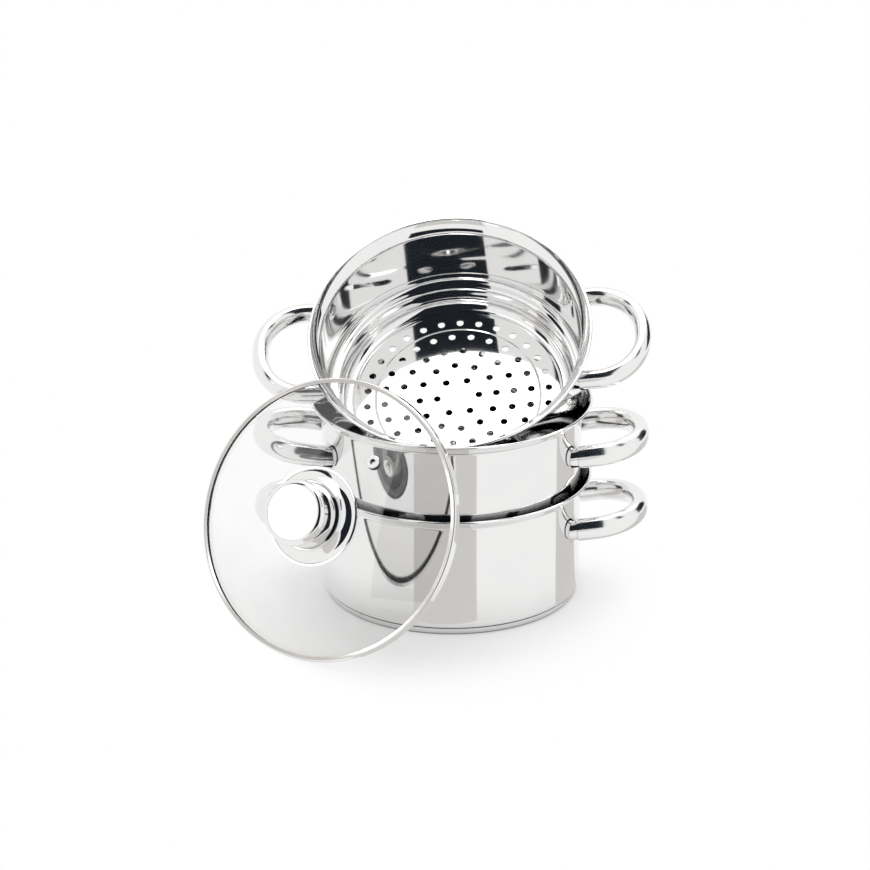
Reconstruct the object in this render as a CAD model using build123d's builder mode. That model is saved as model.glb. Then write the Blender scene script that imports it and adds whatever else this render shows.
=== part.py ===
"""Stove-top stacking steamer: a pot, two perforated tiers and a glass lid.

The pot stands on the floor with the middle tier seated in its rim. The top tier is tipped
forward in the mouth of the middle tier, and the lid leans against it. All sizes are in
millimetres. The origin is on the floor, on the axis of the pot, with +Z up and -Y to the front.
"""

import math
import os

from build123d import *

os.makedirs("parts", exist_ok=True)

# Fits that all pieces share
rest_gap = 0.3  # between loose pieces that rest on one another
joint_gap = 0.05  # between pieces that are welded, riveted or screwed together
cut_overrun = 4.0  # how far a cut runs past the piece that it cuts

# Pressed steel of the pot and the two tiers, which share one diameter and one rim
sheet = 0.8
vessel_radius = 90.6  # outside of the straight wall
flare_width = 7.7  # from the wall to the outside of the rolled lip
flare_height = 8.0
throat_bend = 3.0
lip_radius = 1.0

# Pot and its enclosed base
pot_height = 87.7
pot_corner_bend = 4.0
base_core_thickness = 3.6
base_cap_sheet = 0.8
base_cap_inset = 2.0
base_cap_bend = 1.6

# Tiers: a ledge that seats on a rim, and a spigot with the perforated floor
tier_ledge_depth = 63.5
spigot_depth = 18.3
ledge_width = 7.6
ledge_corner_bend = 4.5
ledge_inner_bend = 1.5
spigot_corner_bend = 8.0
outer_panel_inset = 10.5
panel_ring_width = 15.0
panel_rise = 0.6
panel_slope = 1.6
panel_bend = 1.0
hole_radius = 2.5
hole_ring_radius = 14.8
hole_edge_inset = 8.1  # from the outer panel's edge to the last ring
hole_ring_count = 5
holes_per_ring_step = 6
hole_phase = 3.8  # degrees from the line of the handles

# Loop handles: oval tube with a plug in each end, riveted to the wall
tube_width = 11.5
tube_height = 16.0
tube_wall = 1.0
loop_half_span = 35.0
loop_reach = 45.2  # from the tube ends to the middle of the outer bar
outer_bar_half = 2.0
handle_drop = 32.0  # from the rim to the rivets, on the pot and the middle tier
handle_rise = 7.5  # degrees
top_handle_drop = 18.5
top_handle_rise = 3.0  # degrees
pad_thickness = 2.0
plug_depth = 4.0  # how far a plug reaches into its tube
rivet_radius = 2.5
rivet_grip = 3.0
rivet_head_radius = 5.6
rivet_head_height = 1.8

# Glass lid with its steel band and vent eyelet
lid_inset = 1.7  # from the outside of a rim to the lid's edge
band_sheet = 0.6
band_width = 3.4
band_edge = 1.2
glass_thickness = 4.0
glass_bore_room = 1.0
dome_rise = 25.0
vent_place_radius = 55.0
vent_angle = 53.0  # degrees
eyelet_bore = 2.0
eyelet_radius = 2.9
eyelet_flange_radius = 4.6
eyelet_flange = 0.9
eyelet_edge = 0.4

# Knob: a drawn cap on a flared skirt, with a moulded core, held by a screw through the glass
knob_radius = 22.5
knob_side = 21.0
knob_edge = 4.0
knob_sheet = 0.8
collar_radius = 24.5
collar_height = 2.4
collar_edge = 0.8
skirt_radius = 33.5
skirt_height = 6.0
skirt_lip = 0.8
skirt_hollow = 1.6
waist_radius = 23.5
screw_radius = 2.5
screw_head_radius = 4.6
screw_head_height = 3.0
screw_head_edge = 1.4
screw_end_reach = 1.5
nut_radius = 4.6
nut_height = 4.0
washer_radius = 8.0
washer_thickness = 1.2
gasket_radius = 10.0
gasket_thickness = 1.6

# The way the loose pieces are set down
tier_tilt = 34.7  # degrees the top tier is tipped forward
tier_yaw = 8.1  # degrees its forward side is turned to the left
tier_spin = 7.4  # degrees its handles are turned in its own plane
lid_stand_off = 73.3  # from the pot wall to the lid's lower edge
lid_foot_angle = 231.5  # degrees round the pot to that edge
lid_yaw = 29.2  # degrees the lid faces to the left

# Places that follow from the sizes above
pot_floor = base_cap_sheet + base_core_thickness + 2 * joint_gap
inner_radius = vessel_radius - sheet
rim_radius = vessel_radius + flare_width
base_cap_radius = vessel_radius - base_cap_inset
lip_centre_radius = rim_radius - lip_radius
flare_slope = math.atan2(flare_height - lip_radius, lip_centre_radius - vessel_radius)
inner_throat_height = sheet * math.tan((math.pi / 2 - flare_slope) / 2) - flare_height
seat_room = ledge_corner_bend * (1 - math.sin(flare_slope)) + rest_gap + sheet
seat_height = seat_room / math.cos(flare_slope) - flare_height - ledge_corner_bend
mid_rim_height = pot_height + seat_height + tier_ledge_depth
tier_depth = tier_ledge_depth + spigot_depth
spigot_radius = vessel_radius - ledge_width
outer_panel_radius = spigot_radius - outer_panel_inset
inner_panel_radius = outer_panel_radius - panel_ring_width
hole_ring_span = outer_panel_radius - hole_edge_inset - hole_ring_radius
hole_ring_pitch = hole_ring_span / (hole_ring_count - 1)
loop_bend = loop_half_span - outer_bar_half
pad_width = tube_width - 2 * (tube_wall + joint_gap)
pad_height = tube_height - 2 * (tube_wall + joint_gap)
pad_reach = math.sqrt(vessel_radius**2 - (loop_half_span - pad_width / 2) ** 2)
loop_start = pad_reach + pad_thickness
foot_angle = math.degrees(math.asin(loop_half_span / vessel_radius))
lid_radius = rim_radius - lid_inset
glass_radius = lid_radius - band_sheet - joint_gap
dome_radius = (glass_radius**2 + dome_rise**2) / (2 * dome_rise)
under_dome_radius = dome_radius - glass_thickness
dome_centre = band_sheet + joint_gap - math.sqrt(under_dome_radius**2 - glass_radius**2)


def dome_top(radius):
    """Height of the glass's upper face over the lid's rim plane."""
    return dome_centre + math.sqrt(dome_radius**2 - radius**2)


def dome_underside(radius):
    """Height of the glass's lower face over the lid's rim plane."""
    return dome_centre + math.sqrt(under_dome_radius**2 - radius**2)


def bend_points(centre_radius, centre_height, bend, first, last):
    """Points round a bend of a profile, from one angle in degrees to another."""
    steps = 6
    angles = [math.radians(first + (last - first) * step / steps) for step in range(steps + 1)]
    return [(centre_radius + bend * math.cos(a), centre_height + bend * math.sin(a)) for a in angles]


def tier_skin():
    """Points on the outside of a tier, as radius and height over its rim."""
    ledge_bend_height = ledge_corner_bend - tier_ledge_depth
    spigot_bend_height = spigot_corner_bend - tier_depth
    lip = bend_points(lip_centre_radius, -lip_radius, lip_radius, 90, -60)
    flare_run = lip_centre_radius - vessel_radius
    flare_rise = flare_height - lip_radius
    shares = [step / 8 for step in range(9)]
    flare = [(vessel_radius + flare_run * share, flare_rise * share - flare_height) for share in shares]
    wall = [(vessel_radius, ledge_bend_height * share - flare_height * (1 - share)) for share in shares]
    ledge = bend_points(vessel_radius - ledge_corner_bend, ledge_bend_height, ledge_corner_bend, 0, -90)
    spigot = bend_points(spigot_radius - spigot_corner_bend, spigot_bend_height, spigot_corner_bend, 0, -90)
    return lip + flare + wall + ledge + spigot


def mouth_room(radius, height):
    """Room between a point and the inside of a vessel's mouth, with heights over its rim."""
    if height > -lip_radius:
        return math.hypot(radius - lip_centre_radius, height + lip_radius) - lip_radius
    flare_run = max(height - inner_throat_height, 0) / math.tan(flare_slope)
    return (inner_radius + flare_run - radius) * math.sin(flare_slope)


def tier_room(setback, height):
    """Least room round a tipped tier whose rim centre lies this far back and over the rim below."""
    lean = math.radians(tier_tilt)
    rooms = []
    for radius, level in tier_skin():
        for degree in range(-90, 91, 2):
            turn = math.radians(degree)
            across = radius * math.cos(turn)
            back = setback + radius * math.sin(turn) * math.cos(lean) - level * math.sin(lean)
            rise = height + radius * math.sin(turn) * math.sin(lean) + level * math.cos(lean)
            rooms.append(mouth_room(math.hypot(across, back), rise))
    return min(rooms)


def bisect(low, high, is_clear):
    """The value nearest to low that is still clear, where high is clear."""
    for _ in range(16):
        middle = (low + high) / 2
        if is_clear(middle):
            high = middle
        else:
            low = middle
    return high


def lowest_height(setback):
    """The lowest height at which the tipped tier clears the mouth below it."""
    return bisect(0, tier_depth, lambda height: tier_room(setback, height) > rest_gap)


def settled_setback():
    """The setback at which the tipped tier sinks lowest, caught at its rim and its spigot."""
    near = -rim_radius / 2
    far = rim_radius / 2
    golden_share = (math.sqrt(5) - 1) / 2
    for _ in range(12):
        first = far - golden_share * (far - near)
        second = near + golden_share * (far - near)
        if lowest_height(first) < lowest_height(second):
            far = second
        else:
            near = first
    return (near + far) / 2


def tipped_plane(origin, tilt, yaw, spin):
    """A plane whose normal leans forward by tilt, turned left by yaw and spun in itself."""
    lean, turn, roll = (math.radians(angle) for angle in (tilt, yaw, spin))
    forward = Vector(-math.sin(turn), -math.cos(turn), 0)
    across = Vector(math.cos(turn), -math.sin(turn), 0)
    normal = forward * math.sin(lean) + Vector(0, 0, math.cos(lean))
    uphill = Vector(0, 0, math.sin(lean)) - forward * math.cos(lean)
    return Plane(origin, x_dir=across * math.cos(roll) + uphill * math.sin(roll), z_dir=normal)


def lid_plane(tilt):
    """The lid's rim plane, standing on its lower edge and tipped by tilt."""
    foot_distance = vessel_radius + lid_stand_off
    bearing = math.radians(lid_foot_angle)
    foot = Vector(foot_distance * math.cos(bearing), foot_distance * math.sin(bearing), rest_gap)
    stand = tipped_plane(foot, tilt, lid_yaw, 0)
    lean = math.radians(tilt)
    edge_drop = band_edge * (math.sin(lean) + math.cos(lean) - 1)
    centre = foot + stand.y_dir * lid_radius - Vector(0, 0, edge_drop)
    return Plane(centre, x_dir=stand.x_dir, z_dir=stand.z_dir)


def lean_is_clear(tilt, lip_points):
    """Whether the lid's band stays clear of the lips behind it."""
    place = lid_plane(tilt)
    for point in lip_points:
        local = place.to_local_coords(point)
        off_axis = math.hypot(local.X, local.Y)
        under_band = lid_radius - band_width - lip_radius < off_axis < lid_radius + lip_radius
        if under_band and local.Z > -lip_radius - rest_gap:
            return False
    return True


def lip_circle(place):
    """Points round the middle of a vessel's lip."""
    turns = [math.radians(step / 2) for step in range(720)]
    reach = lip_centre_radius
    circle = [(reach * math.cos(turn), reach * math.sin(turn), -lip_radius) for turn in turns]
    return [place.from_local_coords(point) for point in circle]


# Where each loose piece is: a vessel's plane is at its rim, the lid's at the bottom of its band
pot_place = Plane((0, 0, pot_height))
mid_place = Plane((0, 0, mid_rim_height))
tier_setback = settled_setback()
tier_rim_height = mid_rim_height + lowest_height(tier_setback)
tier_turn = math.radians(tier_yaw)
tier_rim_centre = (math.sin(tier_turn) * tier_setback, math.cos(tier_turn) * tier_setback, tier_rim_height)
top_place = tipped_plane(tier_rim_centre, tier_tilt, tier_yaw, tier_spin)
lips = lip_circle(mid_place) + lip_circle(top_place)
lid_tilt = bisect(0, 90, lambda tilt: lean_is_clear(tilt, lips))
lid_place = lid_plane(lid_tilt)


def section_plane(place):
    """The plane through a turned piece's axis that holds its profile."""
    return Plane(place.origin, x_dir=place.x_dir, z_dir=-place.y_dir)


def turning_axis(place):
    """The axis of a turned piece."""
    return Axis(place.origin, place.z_dir)


def loop_plane(place, side, drop, rise):
    """The plane of a handle loop: its origin is midway between the two tube ends."""
    slope = math.radians(rise)
    outward = place.x_dir * side
    start = place.origin + outward * loop_start - place.z_dir * drop
    along = outward * math.cos(slope) + place.z_dir * math.sin(slope)
    return Plane(start, x_dir=along, z_dir=place.z_dir * math.cos(slope) - outward * math.sin(slope))


def foot_planes(place, drop):
    """The four planes on a vessel's wall where the handles are riveted, facing outwards."""
    bearings = (foot_angle, 180 - foot_angle, 180 + foot_angle, -foot_angle)
    planes = []
    for bearing in bearings:
        turn = math.radians(bearing)
        outward = place.x_dir * math.cos(turn) + place.y_dir * math.sin(turn)
        seat = place.origin + outward * vessel_radius - place.z_dir * drop
        planes.append(Plane(seat, x_dir=place.z_dir, z_dir=outward))
    return planes


def vessel_shell(place, floor_points, floor_bends, drop, hole_rings):
    """A pressed vessel from its floor outline to its rolled lip, with its rivet holes and perforations."""
    wall_points = [(vessel_radius, -flare_height), (lip_centre_radius, -lip_radius)]
    with BuildPart() as shell:
        with BuildSketch(section_plane(place)):
            with BuildLine():
                FilletPolyline(*floor_points, *wall_points, radius=[*floor_bends, throat_bend])
                offset(amount=sheet, side=Side.LEFT)
            make_face()
            with Locations((lip_centre_radius, -lip_radius)):
                Circle(lip_radius)
        revolve(axis=turning_axis(place))
        for seat in foot_planes(place, drop):
            with BuildSketch(seat):
                Circle(rivet_radius + joint_gap)
            extrude(amount=cut_overrun, both=True, mode=Mode.SUBTRACT)
        for ring in range(hole_rings):
            ring_radius = hole_ring_radius + ring * hole_ring_pitch
            with BuildSketch(place.offset(floor_points[0][1])):
                with PolarLocations(ring_radius, holes_per_ring_step * (ring + 1), start_angle=hole_phase):
                    Circle(hole_radius)
            extrude(amount=cut_overrun, both=True, mode=Mode.SUBTRACT)
    return shell


def tier_shell(place, drop):
    """A tier: a stepped vessel whose panelled floor is perforated in rings."""
    floor_points = [
        (0, 2 * panel_rise - tier_depth),
        (inner_panel_radius, 2 * panel_rise - tier_depth),
        (inner_panel_radius + panel_slope, panel_rise - tier_depth),
        (outer_panel_radius, panel_rise - tier_depth),
        (outer_panel_radius + panel_slope, -tier_depth),
        (spigot_radius, -tier_depth),
        (spigot_radius, -tier_ledge_depth),
        (vessel_radius, -tier_ledge_depth),
    ]
    floor_bends = [panel_bend] * 4 + [spigot_corner_bend, ledge_inner_bend, ledge_corner_bend]
    return vessel_shell(place, floor_points, floor_bends, drop, hole_ring_count)


def loop_handle(place, side, drop, rise):
    """A hollow oval tube bent to a loop, standing out from one side of a vessel."""
    loop = loop_plane(place, side, drop, rise)
    corners = [(0, -1), (1, -1), (1, 1), (0, 1)]
    with BuildPart() as handle:
        with BuildLine(loop) as path:
            FilletPolyline(
                *[(loop_reach * out, loop_half_span * end) for out, end in corners], radius=loop_bend
            )
        with BuildSketch(Plane(path.line @ 0, x_dir=loop.z_dir, z_dir=path.line % 0)):
            Ellipse(tube_height / 2, tube_width / 2)
            Ellipse(tube_height / 2 - tube_wall, tube_width / 2 - tube_wall, mode=Mode.SUBTRACT)
        sweep()
    return handle


def handle_pads(place, drop, rise):
    """The four plugs that close the handle tubes and meet the wall, bored for the rivets."""
    with BuildPart() as pads:
        for side in (-1, 1):
            loop = loop_plane(place, side, drop, rise)
            inward = Plane(loop.origin + loop.x_dir * plug_depth, x_dir=loop.z_dir, z_dir=-loop.x_dir)
            with BuildSketch(inward):
                with Locations((0, -loop_half_span), (0, loop_half_span)):
                    Ellipse(pad_height / 2, pad_width / 2)
            wall_reach = loop_start - vessel_radius * math.cos(math.radians(2 * foot_angle))
            extrude(amount=plug_depth + wall_reach)
        with BuildSketch(place.offset(cut_overrun)):
            Circle(vessel_radius + joint_gap)
        extrude(amount=-pot_height - cut_overrun, mode=Mode.SUBTRACT)
        for seat in foot_planes(place, drop):
            with BuildSketch(seat):
                Circle(rivet_radius + joint_gap)
            extrude(amount=rivet_grip + joint_gap, mode=Mode.SUBTRACT)
    return pads


def handle_rivets(place, drop):
    """The four rivets of a vessel, with domed heads inside its wall."""
    head_sag = inner_radius - math.sqrt(inner_radius**2 - rivet_head_radius**2)
    head_seat = -sheet - joint_gap - head_sag
    with BuildPart() as rivets:
        for seat in foot_planes(place, drop):
            with BuildSketch(section_plane(seat)):
                with BuildLine():
                    Polyline(
                        (0, head_seat - rivet_head_height),
                        (0, rivet_grip),
                        (rivet_radius, rivet_grip),
                        (rivet_radius, head_seat),
                        (rivet_head_radius, head_seat),
                    )
                    RadiusArc(
                        (rivet_head_radius, head_seat),
                        (0, head_seat - rivet_head_height),
                        (rivet_head_radius**2 + rivet_head_height**2) / (2 * rivet_head_height),
                    )
                make_face()
            revolve(axis=turning_axis(seat))
    return rivets


def turned_ring(place, bore, radius, bottom, height):
    """A plain ring or disc on a turned piece's axis."""
    with BuildPart() as ring:
        with BuildSketch(place.offset(bottom)):
            Circle(radius)
            if bore > 0:
                Circle(bore, mode=Mode.SUBTRACT)
        extrude(amount=height)
    return ring


def keep(builder, name):
    """Labels a finished piece and writes it."""
    builder.part.label = name
    export_step(builder.part, f"parts/{name}.step")


# Pot: its shell, the heat-spreading disc under it and the pan that encloses the disc
pot_outline = [(0, pot_floor - pot_height), (vessel_radius, pot_floor - pot_height)]
keep(vessel_shell(pot_place, pot_outline, [pot_corner_bend], handle_drop, 0), "pot_shell")

core_radius = base_cap_radius - base_cap_bend - joint_gap
floor_place = Plane.XY
keep(
    turned_ring(floor_place, 0, core_radius, base_cap_sheet + joint_gap, base_core_thickness),
    "pot_base_core",
)

bend_reach = base_cap_radius - base_cap_sheet - (vessel_radius - pot_corner_bend)
cap_edge_height = pot_floor + pot_corner_bend - joint_gap - math.sqrt(pot_corner_bend**2 - bend_reach**2)
with BuildPart() as pot_base_cap:
    with BuildSketch(section_plane(floor_place)):
        with BuildLine():
            FilletPolyline(
                (0, 0),
                (base_cap_radius, 0),
                (base_cap_radius, cap_edge_height),
                radius=base_cap_bend,
            )
            offset(amount=base_cap_sheet, side=Side.LEFT)
        make_face()
    revolve(axis=turning_axis(floor_place))
keep(pot_base_cap, "pot_base_cap")

# The two perforated tiers
keep(tier_shell(mid_place, handle_drop), "mid_tier_shell")
keep(tier_shell(top_place, top_handle_drop), "top_tier_shell")

# Handles of all three vessels, with their plugs and rivets
vessels = {
    "pot": (pot_place, handle_drop, handle_rise),
    "mid_tier": (mid_place, handle_drop, handle_rise),
    "top_tier": (top_place, top_handle_drop, top_handle_rise),
}
for vessel, (place, drop, rise) in vessels.items():
    keep(loop_handle(place, -1, drop, rise), f"{vessel}_handle_left")
    keep(loop_handle(place, 1, drop, rise), f"{vessel}_handle_right")
    keep(handle_pads(place, drop, rise), f"{vessel}_handle_pads")
    keep(handle_rivets(place, drop), f"{vessel}_handle_rivets")

# Glass: a part of a sphere with a bore for the knob's screw and one for the vent
glass_bore = screw_radius + glass_bore_room
vent_turn = math.radians(vent_angle)
vent_local = (vent_place_radius * math.cos(vent_turn), vent_place_radius * math.sin(vent_turn))
vent_origin = lid_place.from_local_coords((*vent_local, dome_top(vent_place_radius)))
vent_normal = vent_origin - lid_place.from_local_coords((0, 0, dome_centre))
vent_place = Plane(vent_origin, x_dir=lid_place.x_dir, z_dir=vent_normal)
with BuildPart() as lid_glass:
    with BuildSketch(section_plane(lid_place)):
        with Locations((0, dome_centre)):
            Circle(dome_radius)
            Circle(under_dome_radius, mode=Mode.SUBTRACT)
        with Locations((glass_bore, 0)):
            Rectangle(
                glass_radius - glass_bore, dome_radius, align=(Align.MIN, Align.MIN), mode=Mode.INTERSECT
            )
    revolve(axis=turning_axis(lid_place))
    with BuildSketch(vent_place):
        Circle(eyelet_radius + joint_gap)
    extrude(amount=2 * glass_thickness, both=True, mode=Mode.SUBTRACT)
keep(lid_glass, "lid_glass")

# Rim band: a channel that clasps the glass edge
band_inner_radius = lid_radius - band_width
band_top = dome_top(band_inner_radius) + joint_gap + band_sheet
with BuildPart() as lid_rim_band:
    with BuildSketch(section_plane(lid_place)) as band_profile:
        with Locations((band_inner_radius, 0)):
            Rectangle(band_width, band_top, align=Align.MIN)
        fillet(band_profile.vertices().group_by(Axis.X)[-1], band_edge)
        with Locations((band_inner_radius - cut_overrun, band_sheet)):
            Rectangle(
                band_width + cut_overrun - band_sheet,
                band_top - 2 * band_sheet,
                align=Align.MIN,
                mode=Mode.SUBTRACT,
            )
    revolve(axis=turning_axis(lid_place))
keep(lid_rim_band, "lid_rim_band")

# Vent eyelet: a tube through the glass with a flange turned over on each side
eyelet_sag = under_dome_radius - math.sqrt(under_dome_radius**2 - eyelet_flange_radius**2)
eyelet_under = -glass_thickness - eyelet_sag - joint_gap
with BuildPart() as lid_vent_eyelet:
    with BuildSketch(section_plane(vent_place)) as eyelet_profile:
        with Locations((eyelet_bore, eyelet_under - eyelet_flange)):
            Rectangle(eyelet_flange_radius - eyelet_bore, eyelet_flange, align=Align.MIN)
            Rectangle(
                eyelet_radius - eyelet_bore, eyelet_flange - eyelet_under + joint_gap, align=Align.MIN
            )
        with Locations((eyelet_bore, joint_gap)):
            Rectangle(eyelet_flange_radius - eyelet_bore, eyelet_flange, align=Align.MIN)
        fillet(eyelet_profile.vertices().group_by(Axis.X)[-1], eyelet_edge)
    revolve(axis=turning_axis(vent_place))
keep(lid_vent_eyelet, "lid_vent_eyelet")

# Knob skirt: a flared foot that follows the glass, a waist and a collar that carries the cap
skirt_inner_radius = waist_radius - knob_sheet
foot_level = dome_top(skirt_radius) + joint_gap
waist_level = foot_level + skirt_height
collar_level = waist_level + collar_height
plate_level = collar_level - collar_height / 2
screw_bore = screw_radius + joint_gap
with BuildPart() as knob_flange:
    with BuildSketch(section_plane(lid_place)) as skirt_profile:
        with BuildLine():
            Line((skirt_radius, foot_level), (skirt_radius, foot_level + skirt_lip))
            SagittaArc((skirt_radius, foot_level + skirt_lip), (waist_radius, waist_level), skirt_hollow)
            Polyline(
                (waist_radius, waist_level),
                (collar_radius, waist_level),
                (collar_radius, collar_level),
                (screw_bore, collar_level),
                (screw_bore, plate_level),
                (skirt_inner_radius, plate_level),
                (skirt_inner_radius, dome_top(skirt_inner_radius) + joint_gap),
            )
            RadiusArc(
                (skirt_inner_radius, dome_top(skirt_inner_radius) + joint_gap),
                (skirt_radius, foot_level),
                dome_radius + joint_gap,
            )
        make_face()
        fillet(skirt_profile.vertices().sort_by_distance((collar_radius, collar_level))[0], collar_edge)
    revolve(axis=turning_axis(lid_place))
keep(knob_flange, "knob_flange")

# Knob cap: a drawn cup over the collar, with a rounded edge
cap_foot = collar_level + joint_gap
with BuildPart() as knob_cap:
    with BuildSketch(section_plane(lid_place)):
        with BuildLine():
            FilletPolyline(
                (knob_radius, cap_foot),
                (knob_radius, cap_foot + knob_side),
                (0, cap_foot + knob_side),
                radius=knob_edge,
            )
            offset(amount=knob_sheet, side=Side.LEFT)
        make_face()
    revolve(axis=turning_axis(lid_place))
keep(knob_cap, "knob_cap")

# Knob core: a moulding in the cap with a pocket for the nut and a blind bore for the screw
core_height = knob_side - knob_edge - knob_sheet
with BuildPart() as knob_core:
    with BuildSketch(lid_place.offset(cap_foot)):
        Circle(knob_radius - knob_sheet - joint_gap)
    extrude(amount=core_height)
    with BuildSketch(lid_place.offset(cap_foot)):
        RegularPolygon(nut_radius + joint_gap, 6)
    extrude(amount=nut_height + joint_gap, mode=Mode.SUBTRACT)
    with BuildSketch(lid_place.offset(cap_foot)):
        Circle(screw_bore)
    extrude(amount=nut_height + screw_end_reach + joint_gap, mode=Mode.SUBTRACT)
keep(knob_core, "knob_core")

with BuildPart() as knob_nut:
    with BuildSketch(lid_place.offset(cap_foot)):
        RegularPolygon(nut_radius, 6)
        Circle(screw_bore, mode=Mode.SUBTRACT)
    extrude(amount=nut_height)
keep(knob_nut, "knob_nut")

# Under the glass: silicone washer, steel washer and the screw's head
gasket_level = dome_underside(gasket_radius) - joint_gap - gasket_thickness
washer_level = gasket_level - joint_gap - washer_thickness
keep(turned_ring(lid_place, screw_bore, gasket_radius, gasket_level, gasket_thickness), "knob_gasket")
keep(turned_ring(lid_place, screw_bore, washer_radius, washer_level, washer_thickness), "knob_washer")

head_level = washer_level - joint_gap
with BuildPart() as knob_screw:
    with BuildSketch(lid_place.offset(head_level)):
        Circle(screw_head_radius)
    extrude(amount=-screw_head_height)
    fillet(knob_screw.edges().sort_by(turning_axis(lid_place))[0], screw_head_edge)
    with BuildSketch(lid_place.offset(head_level)):
        Circle(screw_radius)
    extrude(amount=cap_foot + nut_height + screw_end_reach - head_level)
keep(knob_screw, "knob_screw")
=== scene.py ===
import math

import bmesh
import bpy
from mathutils import Matrix, Vector


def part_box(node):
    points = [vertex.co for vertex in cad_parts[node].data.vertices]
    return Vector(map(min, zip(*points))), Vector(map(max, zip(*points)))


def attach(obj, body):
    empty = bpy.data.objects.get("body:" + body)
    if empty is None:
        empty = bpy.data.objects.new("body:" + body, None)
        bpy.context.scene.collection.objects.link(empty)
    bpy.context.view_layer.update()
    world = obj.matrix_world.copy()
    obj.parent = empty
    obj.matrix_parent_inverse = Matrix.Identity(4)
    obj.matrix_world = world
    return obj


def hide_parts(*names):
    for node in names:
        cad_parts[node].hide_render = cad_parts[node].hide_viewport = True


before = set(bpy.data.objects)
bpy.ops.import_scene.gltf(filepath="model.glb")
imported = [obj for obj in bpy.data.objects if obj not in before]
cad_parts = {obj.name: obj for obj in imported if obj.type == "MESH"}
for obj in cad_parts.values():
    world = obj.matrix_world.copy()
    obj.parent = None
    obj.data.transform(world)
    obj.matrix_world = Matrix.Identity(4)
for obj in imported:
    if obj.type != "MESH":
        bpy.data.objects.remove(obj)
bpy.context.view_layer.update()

# Pot shell: one deep-drawn cup of stainless steel with a flared mouth and a rolled lip.
# It is spun and then buffed to a mirror inside and out, which leaves faint rings round its axis.
# Sizes here and below are in millimetres, and MM turns them to metres.
MM = 0.001
SHEET = 0.8
VESSEL_RADIUS = 90.6
LIP_CENTRE = 97.3
LIP_RADIUS = 1.0
LIP_STEPS = 24
FLARE_HEIGHT = 8.0
THROAT_BEND = 3.0
POT_HEIGHT = 87.7
POT_FLOOR = 4.5
POT_CORNER = 4.0
TURNS = 224
ON_AXIS = 1e-6
BEND_MARGIN = 0.5
BEND_FACET = math.radians(9)
FEWEST_FACETS = 4
SHARP_EDGE = math.radians(38)
RING_SPACING = 1.2
RING_BREAKS = 2.0
RING_DEPTH = 0.05
CLOUD_SIZE = 35.0
CREASE_REACH = 8.0


def linear(hex_colour):
    """An sRGB hex colour as the linear values that shaders use."""
    channels = [int(hex_colour[i : i + 2], 16) / 255 for i in (1, 3, 5)]
    curve = [c / 12.92 if c <= 0.04045 else ((c + 0.055) / 1.055) ** 2.4 for c in channels]
    return (*curve, 1.0)


def add(tree, kind, links=(), **settings):
    """A node with its settings; links give an input and the output that feeds it, or its value."""
    node = tree.nodes.new(kind)
    for name, value in settings.items():
        setattr(node, name, value)
    for socket, source in links:
        if isinstance(source, bpy.types.NodeSocket):
            tree.links.new(source, node.inputs[socket])
        else:
            node.inputs[socket].default_value = source
    return node


def new_material(name):
    """A material with an empty node tree."""
    material = bpy.data.materials.new(name)
    material.use_nodes = True
    material.node_tree.nodes.clear()
    return material, material.node_tree


def bent_line(points, bends):
    """Points and left-hand normals along a line with rounded corners, as a sheet is pressed."""
    line = []
    for i, point in enumerate(points):
        here = Vector(point)
        if i in (0, len(points) - 1):
            way = Vector(points[1]) - here if i == 0 else here - Vector(points[-2])
            line.append((here, Vector((-way.y, way.x)).normalized()))
            continue
        before = (here - Vector(points[i - 1])).normalized()
        after = (Vector(points[i + 1]) - here).normalized()
        turn = before.angle_signed(after)
        bend = bends[i - 1]
        setback = bend * math.tan(abs(turn) / 2)
        left = Vector((-before.y, before.x))
        side = -1 if turn > 0 else 1
        centre = here - before * setback + left * bend * side
        line.append((here - before * (setback + BEND_MARGIN), left.copy()))
        steps = max(FEWEST_FACETS, round(abs(turn) / BEND_FACET))
        for step in range(steps + 1):
            normal = Matrix.Rotation(-turn * step / steps, 2) @ left
            line.append((centre - normal * bend * side, normal))
        line.append((here + after * (setback + BEND_MARGIN), normal.copy()))
    return line


def lipped_outline(points, bends):
    """The closed outline of a pressed sheet whose last point is the middle of its rolled lip."""
    line = bent_line(points, bends)
    lip_middle = line[-1][0]
    way = (lip_middle - line[-2][0]).normalized()
    slope = math.atan2(way.y, way.x)
    inside_reach = math.sqrt(LIP_RADIUS**2 - SHEET**2)
    outside = [point for point, normal in line[:-1]]
    inside = [point + normal * SHEET for point, normal in line[:-1]]
    first = slope + math.pi
    last = slope + math.tau + math.pi / 2 + math.atan2(inside_reach, SHEET)
    lip = []
    for step in range(LIP_STEPS + 1):
        angle = first + (last - first) * step / LIP_STEPS
        lip.append(lip_middle + LIP_RADIUS * Vector((math.cos(angle), math.sin(angle))))
    return outside + lip + inside[::-1]


def finished(name, mesh):
    """An object for a mesh, shaded smooth with its real edges kept sharp."""
    mesh.shade_smooth()
    mesh.set_sharp_from_angle(angle=SHARP_EDGE)
    piece = bpy.data.objects.new(name, mesh)
    bpy.context.scene.collection.objects.link(piece)
    return piece


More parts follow.
